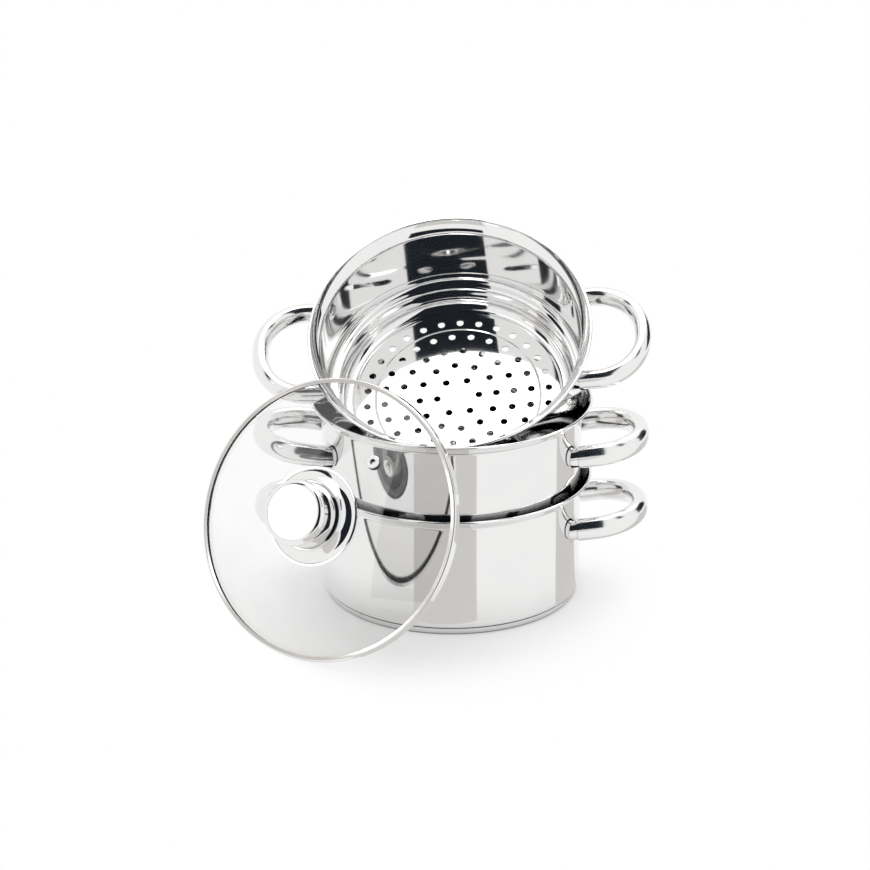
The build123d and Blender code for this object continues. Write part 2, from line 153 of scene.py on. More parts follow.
def turned(name, outline, place):
    """A closed outline of radius and height turned about its axis, with turns and rings as its UV map."""
    mesh = bpy.data.meshes.new(name)
    shape = bmesh.new()
    angles = [math.tau * step / TURNS for step in range(TURNS)]
    rings = []
    for radius, height in outline:
        if radius < ON_AXIS:
            rings.append([shape.verts.new((0, 0, height * MM))])
            continue
        spots = [(radius * MM * math.cos(a), radius * MM * math.sin(a), height * MM) for a in angles]
        rings.append([shape.verts.new(spot) for spot in spots])
    lengths = [0.0]
    for one, other in zip(outline, outline[1:] + outline[:1]):
        lengths.append(lengths[-1] + (Vector(other) - Vector(one)).length * MM)
    uv = shape.loops.layers.uv.new("Turned")
    for ring, lower in enumerate(rings):
        upper = rings[(ring + 1) % len(rings)]
        if len(lower) == 1 and len(upper) == 1:
            continue
        for step in range(TURNS):
            after = (step + 1) % TURNS
            corners = [
                (lower[step % len(lower)], step, ring),
                (lower[after % len(lower)], step + 1, ring),
                (upper[after % len(upper)], step + 1, ring + 1),
                (upper[step % len(upper)], step, ring + 1),
            ]
            if len(lower) == 1:
                corners.pop(1)
            if len(upper) == 1:
                corners.pop(2)
            face = shape.faces.new([corner[0] for corner in corners])
            for loop, corner in zip(face.loops, corners):
                loop[uv].uv = (corner[1] / TURNS, lengths[corner[2]])
    bmesh.ops.recalc_face_normals(shape, faces=shape.faces)
    shape.to_mesh(mesh)
    shape.free()
    mesh.transform(place)
    return finished(name, mesh)


def dress(piece, body, slot, material, *nodes):
    """A finished piece rides on its body, stands for its CAD nodes and wears its material."""
    piece.data.materials.clear()
    piece.data.materials.append(material)
    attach(piece, body)
    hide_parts(*nodes)


# Buffed stainless steel, 18/10: a mirror whose polish leaves faint rings and a few cloudy patches.
# The rings are a few hundredths of a millimetre on the real steel and are drawn 1.2 mm apart to show.
# Where two faces come close together, painted shade darkens the steel's colour, as little light gets in
# there.
buffed_steel, tree = new_material("buffed_stainless_steel")
turned_uv = add(tree, "ShaderNodeUVMap", uv_map="Turned")
ring_scale = add(
    tree,
    "ShaderNodeMapping",
    [("Vector", turned_uv.outputs["UV"]), ("Scale", (RING_BREAKS, 1 / (RING_SPACING * MM), 1.0))],
)
rings = add(
    tree, "ShaderNodeTexNoise", [("Vector", ring_scale.outputs["Vector"]), ("Scale", 1.0), ("Detail", 2.0)]
)
coords = add(tree, "ShaderNodeTexCoord")
clouds = add(
    tree,
    "ShaderNodeTexNoise",
    [
        ("Vector", coords.outputs["Object"]),
        ("Scale", 1 / (CLOUD_SIZE * MM)),
        ("Detail", 4.0),
        ("Roughness", 0.6),
    ],
)
tone = add(tree, "ShaderNodeValToRGB", [("Fac", clouds.outputs["Fac"])])
tone.color_ramp.elements[0].color = linear("#E9E9EA")
tone.color_ramp.elements[1].color = linear("#F2F1EF")
# Painted shade: ambient occlusion darkens the steel's colour in creases and between close parts.
crease_occlusion = add(
    tree,
    "ShaderNodeAmbientOcclusion",
    [("Color", tone.outputs["Color"]), ("Distance", CREASE_REACH * MM)],
    samples=6,
)
painted_crease_shade = add(tree, "ShaderNodeValToRGB", [("Fac", crease_occlusion.outputs["AO"])])
painted_crease_shade.color_ramp.elements[0].color = linear("#2A2B2E")
painted_crease_shade.color_ramp.elements[0].position = 0.2
painted_crease_shade.color_ramp.elements[1].color = linear("#FFFFFF")
painted_crease_shade.color_ramp.elements[1].position = 0.75
shaded = add(
    tree,
    "ShaderNodeVectorMath",
    [(0, tone.outputs["Color"]), (1, painted_crease_shade.outputs["Color"])],
    operation="MULTIPLY",
)
haze = add(
    tree,
    "ShaderNodeMapRange",
    [
        ("Value", clouds.outputs["Fac"]),
        ("From Min", 0.3),
        ("From Max", 0.8),
        ("To Min", 0.035),
        ("To Max", 0.085),
    ],
)
relief = add(
    tree,
    "ShaderNodeBump",
    [("Height", rings.outputs["Fac"]), ("Strength", 0.02), ("Distance", RING_DEPTH * MM)],
)
steel = add(
    tree,
    "ShaderNodeBsdfPrincipled",
    [
        ("Base Color", shaded.outputs["Vector"]),
        ("Metallic", 1.0),
        ("Roughness", haze.outputs["Result"]),
        ("Normal", relief.outputs["Normal"]),
    ],
)
add(tree, "ShaderNodeOutputMaterial", [("Surface", steel.outputs["BSDF"])])

pot_place = Matrix.Translation((0, 0, POT_HEIGHT * MM))
pot_bottom = POT_FLOOR - POT_HEIGHT
mouth = [(VESSEL_RADIUS, -FLARE_HEIGHT), (LIP_CENTRE, -LIP_RADIUS)]
pot_outline = lipped_outline(
    [(0, pot_bottom), (VESSEL_RADIUS, pot_bottom), *mouth], [POT_CORNER, THROAT_BEND]
)
pot = turned("pot", pot_outline, pot_place)
dress(pot, "pot", "polished_steel", buffed_steel, "pot_shell")

# Pot base: a steel pan, pressed over an aluminium disc and brazed under the pot's floor.
# The disc spreads the heat; only the pan's rounded edge shows, as a thin line round the foot.
BASE_RADIUS = 88.6
BASE_SHEET = 0.8
BASE_CORNER = 1.6
STREAK_LENGTH = 40.0
STREAK_WIDTH = 1.0
base_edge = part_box("pot_base_cap")[1].z / MM
base_line = bent_line([(0, 0), (BASE_RADIUS, 0), (BASE_RADIUS, base_edge)], [BASE_CORNER])
base_outline = [point for point, normal in base_line]
base_outline += [point + normal * BASE_SHEET for point, normal in base_line[::-1]]
base = turned("pot_base", base_outline, Matrix())
dress(base, "pot", "polished_steel", buffed_steel, "pot_base_cap")


def coat(node, material):
    """A CAD node that shows as it is gets its material."""
    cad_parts[node].data.materials.clear()
    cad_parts[node].data.materials.append(material)


# Rolled aluminium, mill finish: dull and faintly streaked along the way it was rolled.
rolled_aluminium, tree = new_material("rolled_aluminium")
coords = add(tree, "ShaderNodeTexCoord")
across_streaks = 1 / (STREAK_WIDTH * MM)
streak_scale = add(
    tree,
    "ShaderNodeMapping",
    [
        ("Vector", coords.outputs["Object"]),
        ("Scale", (1 / (STREAK_LENGTH * MM), across_streaks, across_streaks)),
    ],
)
streaks = add(tree, "ShaderNodeTexNoise", [("Vector", streak_scale.outputs["Vector"]), ("Scale", 1.0)])
tone = add(tree, "ShaderNodeValToRGB", [("Fac", streaks.outputs["Fac"])])
tone.color_ramp.elements[0].color = linear("#B9BCBF")
tone.color_ramp.elements[1].color = linear("#D3D5D6")
mill = add(
    tree,
    "ShaderNodeBsdfPrincipled",
    [("Base Color", tone.outputs["Color"]), ("Metallic", 1.0), ("Roughness", 0.38)],
)
add(tree, "ShaderNodeOutputMaterial", [("Surface", mill.outputs["BSDF"])])
coat("pot_base_core", rolled_aluminium)

# Two steamer tiers: drawn cups of the pot's steel, with a ledge that seats on the rim below.
# The floor is panelled in two low steps and pierced in rings, and both cups come from one tool.
# One sits level in the pot, and the other is tipped forward in the mouth of the first.
LEDGE_DEPTH = 63.5
TIER_DEPTH = 81.8
SPIGOT_RADIUS = 83.0
PANEL_RISE = 0.6
PANEL_SLOPE = 1.6
INNER_PANEL = 57.5
OUTER_PANEL = 72.5
PANEL_BEND = 1.0
FOOT_BEND = 8.0
NECK_BEND = 1.5
LEDGE_BEND = 4.5
HOLE_RADIUS = 2.5
HOLE_SIDES = 28
HOLE_RINGS = 5
HOLES_PER_STEP = 6
FIRST_RING = 14.8
RING_PITCH = 12.4
RING_TURN = math.radians(3.8)
PUNCH_DEPTH = 5.0
TIPPED_RIM_CENTRE = (-1.81198, -12.73161, 195.10833)
TIPPED_LEAN = 34.7
TIPPED_YAW = 8.1
TIPPED_SPIN = 7.4
tier_outline = lipped_outline(
    [
        (0, 2 * PANEL_RISE - TIER_DEPTH),
        (INNER_PANEL, 2 * PANEL_RISE - TIER_DEPTH),
        (INNER_PANEL + PANEL_SLOPE, PANEL_RISE - TIER_DEPTH),
        (OUTER_PANEL, PANEL_RISE - TIER_DEPTH),
        (OUTER_PANEL + PANEL_SLOPE, -TIER_DEPTH),
        (SPIGOT_RADIUS, -TIER_DEPTH),
        (SPIGOT_RADIUS, -LEDGE_DEPTH),
        (VESSEL_RADIUS, -LEDGE_DEPTH),
        *mouth,
    ],
    [*[PANEL_BEND] * 4, FOOT_BEND, NECK_BEND, LEDGE_BEND, THROAT_BEND],
)


def new_tree(name, **inputs):
    """A geometry tree with named inputs, and the sockets that carry them."""
    tree = bpy.data.node_groups.new(name, "GeometryNodeTree")
    tree.interface.new_socket("Geometry", in_out="INPUT", socket_type="NodeSocketGeometry")
    for label, kind in inputs.items():
        tree.interface.new_socket(label.replace("_", " "), in_out="INPUT", socket_type=kind)
    tree.interface.new_socket("Geometry", in_out="OUTPUT", socket_type="NodeSocketGeometry")
    return tree, add(tree, "NodeGroupInput").outputs


def end_tree(tree, geometry, material):
    """The end of a geometry tree: real meshes in one material."""
    real = add(tree, "GeometryNodeRealizeInstances", [("Geometry", geometry)])
    worn = add(tree, "GeometryNodeSetMaterial", [("Geometry", real.outputs[0]), ("Material", material)])
    add(tree, "NodeGroupOutput", [("Geometry", worn.outputs[0])])


def settled(name, source, place):
    """The plain mesh of an object with its modifiers worked in, set in its place."""
    evaluated = source.evaluated_get(bpy.context.evaluated_depsgraph_get())
    mesh = bpy.data.meshes.new_from_object(evaluated)
    bpy.data.objects.remove(source)
    mesh.name = name
    mesh.transform(place)
    return finished(name, mesh)


def grown(name, source, tree, place, **values):
    """The plain mesh that a geometry tree makes from an object, set in its place."""
    modifier = source.modifiers.new(tree.name, "NODES")
    modifier.node_group = tree
    for item in tree.interface.items_tree:
        label = item.name.replace(" ", "_")
        if item.in_out == "INPUT" and label in values:
            modifier[item.identifier] = values[label]
    return settled(name, source, place)


pierced, size = new_tree(
    "pierced_floor",
    Hole_Radius="NodeSocketFloat",
    First_Ring="NodeSocketFloat",
    Ring_Pitch="NodeSocketFloat",
    Turn="NodeSocketFloat",
    Floor_Level="NodeSocketFloat",
    Steel="NodeSocketMaterial",
)
all_rings = add(pierced, "GeometryNodeJoinGeometry")
for ring in range(HOLE_RINGS):
    reach = add(
        pierced,
        "ShaderNodeMath",
        [(0, ring), (1, size["Ring Pitch"]), (2, size["First Ring"])],
        operation="MULTIPLY_ADD",
    )
    circle = add(
        pierced,
        "GeometryNodeMeshCircle",
        [("Vertices", HOLES_PER_STEP * (ring + 1)), ("Radius", reach.outputs[0])],
    )
    pierced.links.new(circle.outputs["Mesh"], all_rings.inputs[0])
turn = add(pierced, "ShaderNodeCombineXYZ", [("Z", size["Turn"])])
level = add(pierced, "ShaderNodeCombineXYZ", [("Z", size["Floor Level"])])
spots = add(
    pierced,
    "GeometryNodeTransform",
    [("Geometry", all_rings.outputs[0]), ("Rotation", turn.outputs[0]), ("Translation", level.outputs[0])],
)
punch = add(
    pierced,
    "GeometryNodeMeshCylinder",
    [("Vertices", HOLE_SIDES), ("Radius", size["Hole Radius"]), ("Depth", PUNCH_DEPTH * MM)],
)
punches = add(
    pierced,
    "GeometryNodeInstanceOnPoints",
    [("Points", spots.outputs[0]), ("Instance", punch.outputs["Mesh"])],
)
cuts = add(pierced, "GeometryNodeRealizeInstances", [("Geometry", punches.outputs[0])])
floor_cut = add(
    pierced,
    "GeometryNodeMeshBoolean",
    [("Mesh 1", size["Geometry"]), ("Mesh 2", cuts.outputs[0])],
    operation="DIFFERENCE",
    solver="EXACT",
)
end_tree(pierced, floor_cut.outputs["Mesh"], size["Steel"])


def tipped(centre, lean, yaw, spin):
    """A place whose axis leans forward, turned to the left by yaw and spun about itself, in degrees."""
    lean, yaw, spin = (math.radians(angle) for angle in (lean, yaw, spin))
    forward = Vector((-math.sin(yaw), -math.cos(yaw), 0))
    across = Vector((math.cos(yaw), -math.sin(yaw), 0))
    axis = forward * math.sin(lean) + Vector((0, 0, math.cos(lean)))
    uphill = Vector((0, 0, math.sin(lean))) - forward * math.cos(lean)
    right = across * math.cos(spin) + uphill * math.sin(spin)
    turn = Matrix((right, axis.cross(right), axis)).transposed().to_4x4()
    return Matrix.Translation(Vector(centre) * MM) @ turn


mid_place = Matrix.Translation((0, 0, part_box("mid_tier_shell")[1].z))
top_place = tipped(TIPPED_RIM_CENTRE, TIPPED_LEAN, TIPPED_YAW, TIPPED_SPIN)
for name, place in (("mid_tier", mid_place), ("top_tier", top_place)):
    cup = grown(
        name,
        turned(name + "_blank", tier_outline, Matrix()),
        pierced,
        place,
        Hole_Radius=HOLE_RADIUS * MM,
        First_Ring=FIRST_RING * MM,
        Ring_Pitch=RING_PITCH * MM,
        Turn=RING_TURN,
        Floor_Level=-TIER_DEPTH * MM,
        Steel=buffed_steel,
    )
    dress(cup, name, "polished_steel", buffed_steel, name + "_shell")

# Loop handles: oval stainless steel tube bent twice to a loop, two on each vessel.
# Each end is closed by a plug that sits on the wall, and a rivet goes through wall and plug.
# On the tipped tier they sit higher on the wall and stand out with less rise.
HALF_SPAN = 35.0
REACH = 45.2
LOOP_BEND = 33.0
LOOP_BEND_STEPS = 28
TUBE_WIDTH = 11.5
TUBE_HEIGHT = 16.0
TUBE_SIDES = 48
PAD_WIDTH = 9.4
PAD_THICKNESS = 2.0
LEVEL_DROP = 32.0
LEVEL_RISE = math.radians(7.5)
TIPPED_DROP = 18.5
TIPPED_RISE = math.radians(3.0)
LOOP_START = math.sqrt(VESSEL_RADIUS**2 - (HALF_SPAN - PAD_WIDTH / 2) ** 2) + PAD_THICKNESS

tube, size = new_tree(
    "loop_handle",
    Bend_Radius="NodeSocketFloat",
    Tube_Width="NodeSocketFloat",
    Tube_Height="NodeSocketFloat",
    Steel="NodeSocketMaterial",
)
bent = add(
    tube,
    "GeometryNodeFilletCurve",
    [("Curve", size["Geometry"]), ("Count", LOOP_BEND_STEPS), ("Radius", size["Bend Radius"])],
    mode="POLY",
)
upright = add(tube, "GeometryNodeSetCurveNormal", [("Curve", bent.outputs[0])], mode="Z_UP")
ring = add(tube, "GeometryNodeCurvePrimitiveCircle", [("Resolution", TUBE_SIDES), ("Radius", 0.5)])
oval_size = add(
    tube, "ShaderNodeCombineXYZ", [("X", size["Tube Width"]), ("Y", size["Tube Height"]), ("Z", 1.0)]
)
oval = add(
    tube, "GeometryNodeTransform", [("Geometry", ring.outputs["Curve"]), ("Scale", oval_size.outputs[0])]
)
swept = add(
    tube,
    "GeometryNodeCurveToMesh",
    [("Curve", upright.outputs[0]), ("Profile Curve", oval.outputs[0]), ("Fill Caps", True)],
)
end_tree(tube, swept.outputs[0], size["Steel"])


def loop_place(place, side, drop, rise):
    """The place of a handle's loop on a vessel: midway between the two ends of its tube."""
    turn = place.to_3x3()
    outward = turn.col[0] * side
    along = outward * math.cos(rise) + turn.col[2] * math.sin(rise)
    up = turn.col[2] * math.cos(rise) - outward * math.sin(rise)
    start = place.translation + outward * LOOP_START * MM - turn.col[2] * drop * MM
    return Matrix.Translation(start) @ Matrix((along, up.cross(along), up)).transposed().to_4x4()


def wire(name, points):
    """An open line through points, for a tree to work on."""
    curve = bpy.data.curves.new(name, "CURVE")
    curve.dimensions = "3D"
    spline = curve.splines.new("POLY")
    spline.points.add(len(points) - 1)
    for point, (x, y) in zip(spline.points, points):
        point.co = (x * MM, y * MM, 0, 1)
    line = bpy.data.objects.new(name, curve)
    bpy.context.scene.collection.objects.link(line)
    return line


# Tumbled stainless tube: the same steel, less polished than the sheet, so it mirrors the room softly.
tumbled_steel = buffed_steel.copy()
tumbled_steel.name = "tumbled_stainless_tube"
tumbled_haze = tumbled_steel.node_tree.nodes[haze.name]
tumbled_haze.inputs["To Min"].default_value = 0.12
tumbled_haze.inputs["To Max"].default_value = 0.19

loop_corners = [(0, -HALF_SPAN), (REACH, -HALF_SPAN), (REACH, HALF_SPAN), (0, HALF_SPAN)]
handled = {
    "pot": (pot_place, LEVEL_DROP, LEVEL_RISE),
    "mid_tier": (mid_place, LEVEL_DROP, LEVEL_RISE),
    "top_tier": (top_place, TIPPED_DROP, TIPPED_RISE),
}
for vessel, (place, drop, rise) in handled.items():
    for side, word in ((-1, "left"), (1, "right")):
        name = f"{vessel}_{word}_loop"
        loop = grown(
            name,
            wire(name, loop_corners),
            tube,
            loop_place(place, side, drop, rise),
            Bend_Radius=LOOP_BEND * MM,
            Tube_Width=TUBE_WIDTH * MM,
            Tube_Height=TUBE_HEIGHT * MM,
            Steel=tumbled_steel,
        )
        dress(loop, vessel, "polished_steel", tumbled_steel, f"{vessel}_handle_{word}")
    coat(f"{vessel}_handle_pads", buffed_steel)

# Rivets: four to a vessel, each with a domed head inside the wall and a shank through wall and plug.
# They are stainless like the wall and were set with a smooth tool.
HEAD_RADIUS = 5.6
HEAD_RISE = 1.8
HEAD_STEPS = 10
SHANK_RADIUS = 2.5
SHANK_GRIP = 3.0
head_ball = (HEAD_RADIUS**2 + HEAD_RISE**2) / (2 * HEAD_RISE)
head_edge = math.asin(HEAD_RADIUS / head_ball)
head_seat = math.sqrt((VESSEL_RADIUS - SHEET) ** 2 - HEAD_RADIUS**2)
shank_end = head_seat - VESSEL_RADIUS - SHANK_GRIP
rivet_outline = []
for step in range(HEAD_STEPS + 1):
    angle = head_edge * step / HEAD_STEPS
    rivet_outline.append((head_ball * math.sin(angle), HEAD_RISE - head_ball * (1 - math.cos(angle))))
rivet_outline += [(SHANK_RADIUS, 0), (SHANK_RADIUS, shank_end), (0, shank_end)]
rivet = turned("rivet", rivet_outline, Matrix())

riveted, size = new_tree("rivets", Rivet="NodeSocketObject", Steel="NodeSocketMaterial")
facing = add(riveted, "GeometryNodeInputNamedAttribute", [("Name", "facing")], data_type="FLOAT_VECTOR")
stance = add(
    riveted, "FunctionNodeAlignRotationToVector", [("Vector", facing.outputs["Attribute"])], axis="Z"
)
pattern = add(riveted, "GeometryNodeObjectInfo", [("Object", size["Rivet"])])
set_rivets = add(
    riveted,
    "GeometryNodeInstanceOnPoints",
    [
        ("Points", size["Geometry"]),
        ("Instance", pattern.outputs["Geometry"]),
        ("Rotation", stance.outputs[0]),
    ],
)
end_tree(riveted, set_rivets.outputs[0], size["Steel"])

foot_angle = math.asin(HALF_SPAN / VESSEL_RADIUS)
bearings = (foot_angle, math.pi - foot_angle, math.pi + foot_angle, -foot_angle)
outward = [Vector((math.cos(bearing), math.sin(bearing), 0)) for bearing in bearings]
for vessel, (place, drop, _) in handled.items():
    name = f"{vessel}_rivets"
    spots = bpy.data.meshes.new(name)
    spots.from_pydata([(way * head_seat - Vector((0, 0, drop))) * MM for way in outward], [], [])
    facings = spots.attributes.new("facing", "FLOAT_VECTOR", "POINT")
    for item, way in zip(facings.data, outward):
        item.vector = -way
    holder = bpy.data.objects.new(name, spots)
    bpy.context.scene.collection.objects.link(holder)
    rivets = grown(name, holder, riveted, place, Rivet=rivet, Steel=buffed_steel)
    dress(rivets, vessel, "polished_steel", buffed_steel, f"{vessel}_handle_rivets")
bpy.data.objects.remove(rivet)

# Lid glass: a disc of clear soda-lime glass, 4 mm thick, sagged to a shallow dome and tempered.
# It has a bore for the knob's screw and one for the steam vent.
# The lid stands on its edge and leans on the tipped tier.
LID_RADIUS = 96.6
BAND_SHEET = 0.6
JOINT_GAP = 0.05
GLASS_THICKNESS = 4.0
GLASS_STEPS = 40
GLASS_BORE = 3.5
DOME_RISE = 25.0
VENT_REACH = 55.0
VENT_TURN = math.radians(53)
EYELET_RADIUS = 2.9
LID_RIM_CENTRE = (-81.5525, -91.629, 86.9018)
LID_LEAN = 64.2453
LID_YAW = 29.2
SMEAR_SIZE = 25.0
SHADE_BOTTOM = 10.0
SHADE_TOP = 80.0
GLASS_RADIUS = LID_RADIUS - BAND_SHEET - JOINT_GAP
DOME_RADIUS = (GLASS_RADIUS**2 + DOME_RISE**2) / (2 * DOME_RISE)
UNDER_RADIUS = DOME_RADIUS - GLASS_THICKNESS
DOME_CENTRE = BAND_SHEET + JOINT_GAP - math.sqrt(UNDER_RADIUS**2 - GLASS_RADIUS**2)
lid_place = tipped(LID_RIM_CENTRE, LID_LEAN, LID_YAW, 0.0)


def dome(radius, sphere):
    """Height over the lid's rim plane of a face of the glass."""
    return DOME_CENTRE + math.sqrt(sphere**2 - radius**2)


# Tempered soda-lime glass: clear and smooth, with faint wiping smears, and painted shade that greys its
# tint towards the bottom.
# Light passes straight through it to the table, so that the lid throws only a faint shadow.
clear_glass, tree = new_material("tempered_soda_lime_glass")
coords = add(tree, "ShaderNodeTexCoord")
smears = add(
    tree,
    "ShaderNodeTexNoise",
    [
        ("Vector", coords.outputs["Object"]),
        ("Scale", 1 / (SMEAR_SIZE * MM)),
        ("Detail", 3.0),
        ("Distortion", 0.6),
    ],
)
wiped = add(
    tree,
    "ShaderNodeMapRange",
    [
        ("Value", smears.outputs["Fac"]),
        ("From Min", 0.45),
        ("From Max", 0.8),
        ("To Min", 0.0),
        ("To Max", 0.03),
    ],
)
# Painted shade: the glass's tint goes grey towards its lower edge, near the table.
height = add(tree, "ShaderNodeSeparateXYZ", [("Vector", coords.outputs["Object"])])
shade_fade = add(
    tree,
    "ShaderNodeMapRange",
    [
        ("Value", height.outputs["Z"]),
        ("From Min", SHADE_BOTTOM * MM),
        ("From Max", SHADE_TOP * MM),
        ("To Min", 0.0),
        ("To Max", 0.7),
    ],
)
smears_and_shade = add(
    tree,
    "ShaderNodeMath",
    [(0, smears.outputs["Fac"]), (1, 0.3), (2, shade_fade.outputs["Result"])],
    operation="MULTIPLY_ADD",
)
tint_and_shade = add(tree, "ShaderNodeValToRGB", [("Fac", smears_and_shade.outputs[0])])
tint_and_shade.color_ramp.elements[0].color = linear("#E7E6E5")
tint_and_shade.color_ramp.elements[1].color = linear("#FEFEFE")
glass = add(
    tree,
    "ShaderNodeBsdfPrincipled",
    [
        ("Base Color", tint_and_shade.outputs["Color"]),
        ("Roughness", wiped.outputs["Result"]),
        ("IOR", 1.52),
        ("Transmission Weight", 1.0),
    ],
)
path = add(tree, "ShaderNodeLightPath")
passing = add(tree, "ShaderNodeBsdfTransparent", [("Color", linear("#F7F7F7"))])
cast = add(
    tree,
    "ShaderNodeMixShader",
    [(0, path.outputs["Is Shadow Ray"]), (1, glass.outputs["BSDF"]), (2, passing.outputs["BSDF"])],
)
add(tree, "ShaderNodeOutputMaterial", [("Surface", cast.outputs[0])])

glass_width = GLASS_RADIUS - GLASS_BORE
reaches = [GLASS_BORE + glass_width * step / GLASS_STEPS for step in range(GLASS_STEPS + 1)]
glass_outline = [(reach, dome(reach, UNDER_RADIUS)) for reach in reaches]
glass_outline += [(reach, dome(reach, DOME_RADIUS)) for reach in reaches[::-1]]
lid_blank = turned("lid_blank", glass_outline, Matrix())
vent_foot = Vector(
    (VENT_REACH * math.cos(VENT_TURN), VENT_REACH * math.sin(VENT_TURN), dome(VENT_REACH, DOME_RADIUS))
)
vent_axis = (vent_foot - Vector((0, 0, DOME_CENTRE))).normalized()
vent_turn = vent_axis.to_track_quat("Z", "Y").to_matrix().to_4x4()
vent_spot = Matrix.Translation(vent_foot * MM) @ vent_turn
vent_bore = EYELET_RADIUS + JOINT_GAP
drill_reach = 2 * GLASS_THICKNESS
drill = turned(
    "vent_drill",
    [(0, -drill_reach), (vent_bore, -drill_reach), (vent_bore, drill_reach), (0, drill_reach)],
    vent_spot,
)
bored = lid_blank.modifiers.new("vent_bore", "BOOLEAN")
bored.object = drill
bored.solver = "EXACT"
lid_glass = settled("lid_glass_dome", lid_blank, lid_place)
bpy.data.objects.remove(drill)
dress(lid_glass, "lid", "clear_glass", clear_glass, "lid_glass")

# Lid band: a channel of thin stainless strip, rolled round the edge of the glass and buffed.
# The lid stands on it, and it seats on any of the rims.
BAND_WIDTH = 3.4
BAND_CORNER = 1.2
band_inner = LID_RADIUS - BAND_WIDTH
band_top = dome(band_inner, DOME_RADIUS) + JOINT_GAP + BAND_SHEET
band_line = bent_line(
    [(band_inner, 0), (LID_RADIUS, 0), (LID_RADIUS, band_top), (band_inner, band_top)],
    [BAND_CORNER, BAND_CORNER],
)
band_outline = [point for point, normal in band_line]
band_outline += [
    Vector((band_inner, band_top - BAND_SHEET)),
    Vector((LID_RADIUS - BAND_SHEET, band_top - BAND_SHEET)),
    Vector((LID_RADIUS - BAND_SHEET, BAND_SHEET)),
    Vector((band_inner, BAND_SHEET)),
]
band = turned("lid_band", band_outline, lid_place)
dress(band, "lid", "polished_steel", buffed_steel, "lid_rim_band")

# Steam vent: a small stainless eyelet in its own bore of the glass, which lets steam out of the set.
# It is flanged over on both sides of the glass, with its outer edges rounded off.
EYELET_BORE = 2.0
EYELET_FLANGE_RADIUS = 4.6
EYELET_FLANGE = 0.9
EYELET_EDGE = 0.4
EYELET_CREASE = 0.1
over_level = EYELET_FLANGE + JOINT_GAP
under_level = -GLASS_THICKNESS - JOINT_GAP
eyelet_line = bent_line(
    [
        (EYELET_BORE, over_level),
        (EYELET_FLANGE_RADIUS, over_level),
        (EYELET_FLANGE_RADIUS, JOINT_GAP),
        (EYELET_RADIUS, JOINT_GAP),
        (EYELET_RADIUS, under_level),
        (EYELET_FLANGE_RADIUS, under_level),
        (EYELET_FLANGE_RADIUS, under_level - EYELET_FLANGE),
        (EYELET_BORE, under_level - EYELET_FLANGE),
    ],
    [EYELET_EDGE, *[EYELET_CREASE] * 4, EYELET_EDGE],
)
eyelet = turned("vent_eyelet", [point for point, normal in eyelet_line], lid_place @ vent_spot)
dress(eyelet, "lid", "polished_steel", buffed_steel, "lid_vent_eyelet")

# Knob skirt: a flared stainless pressing that stands on the glass, with a hollow sweep up to a waist.
# A collar on top carries the cap, and the knob's screw goes through its middle.
SKIRT_RADIUS = 33.5
SKIRT_HEIGHT = 6.0
SKIRT_LIP = 0.8
SKIRT_HOLLOW = 1.6
SKIRT_STEPS = 16
WAIST_RADIUS = 23.5
WAIST_CREASE = 0.15
COLLAR_RADIUS = 24.5
COLLAR_HEIGHT = 2.4
COLLAR_EDGE = 0.8
SCREW_BORE = 2.55
foot_level = dome(SKIRT_RADIUS, DOME_RADIUS) + JOINT_GAP
waist_level = foot_level + SKIRT_HEIGHT
collar_level = waist_level + COLLAR_HEIGHT
lip_end = Vector((SKIRT_RADIUS, foot_level + SKIRT_LIP))
waist = Vector((WAIST_RADIUS, waist_level))
chord = waist - lip_end
sweep_radius = (chord.length / 2) ** 2 / (2 * SKIRT_HOLLOW) + SKIRT_HOLLOW / 2
bow = Vector((chord.y, -chord.x)).normalized()
sweep_centre = (lip_end + waist) / 2 + bow * (sweep_radius - SKIRT_HOLLOW)
first = (lip_end - sweep_centre).normalized()
sweep = first.angle_signed((waist - sweep_centre).normalized())
skirt_outline = [Vector((SKIRT_RADIUS, foot_level))]
for step in range(SKIRT_STEPS + 1):
    spoke = Matrix.Rotation(-sweep * step / SKIRT_STEPS, 2) @ first
    skirt_outline.append(sweep_centre + spoke * sweep_radius)
collar_line = bent_line(
    [
        (WAIST_RADIUS, waist_level),
        (COLLAR_RADIUS, waist_level),
        (COLLAR_RADIUS, collar_level),
        (SCREW_BORE, collar_level),
    ],
    [WAIST_CREASE, COLLAR_EDGE],
)
skirt_outline += [point for point, normal in collar_line[1:]]
inner_waist = WAIST_RADIUS - SHEET
collar_under = collar_level - COLLAR_HEIGHT / 2
skirt_outline += [
    Vector((SCREW_BORE, collar_under)),
    Vector((inner_waist, collar_under)),
    Vector((inner_waist, dome(inner_waist, DOME_RADIUS) + JOINT_GAP)),
]
skirt = turned("knob_skirt", skirt_outline, lid_place)
dress(skirt, "lid", "polished_steel", buffed_steel, "knob_flange")

# Knob cap: a deep-drawn stainless cup with a rounded edge and a flat top, buffed like the pot.
# It is turned upside down over the knob's core and sits on the skirt's collar.
KNOB_RADIUS = 22.5
KNOB_SIDE = 21.0
KNOB_EDGE = 4.0
cap_foot = collar_level + JOINT_GAP
cap_top = cap_foot + KNOB_SIDE
cap_line = bent_line([(KNOB_RADIUS, cap_foot), (KNOB_RADIUS, cap_top), (0, cap_top)], [KNOB_EDGE])
cap_outline = [point for point, normal in cap_line]
cap_outline += [point + normal * SHEET for point, normal in cap_line[::-1]]
cap = turned("knob_cup", cap_outline, lid_place)
dress(cap, "lid", "polished_steel", buffed_steel, "knob_cap")

# Knob fixing: a screw from under the glass goes through a washer and into a nut in the knob's core.
# All three are stainless and bright from the machine. They pull the skirt down on the dome.
for name in ("knob_nut", "knob_washer", "knob_screw"):
    coat(name, buffed_steel)

# Knob core and gasket: a moulded filler that holds the nut, and a soft washer under the steel one.
# The core is a phenolic moulding and the gasket is cut from silicone rubber.
CORE_GRAIN = 0.8
GASKET_GRAIN = 1.5
GRAIN_DEPTH = 0.1


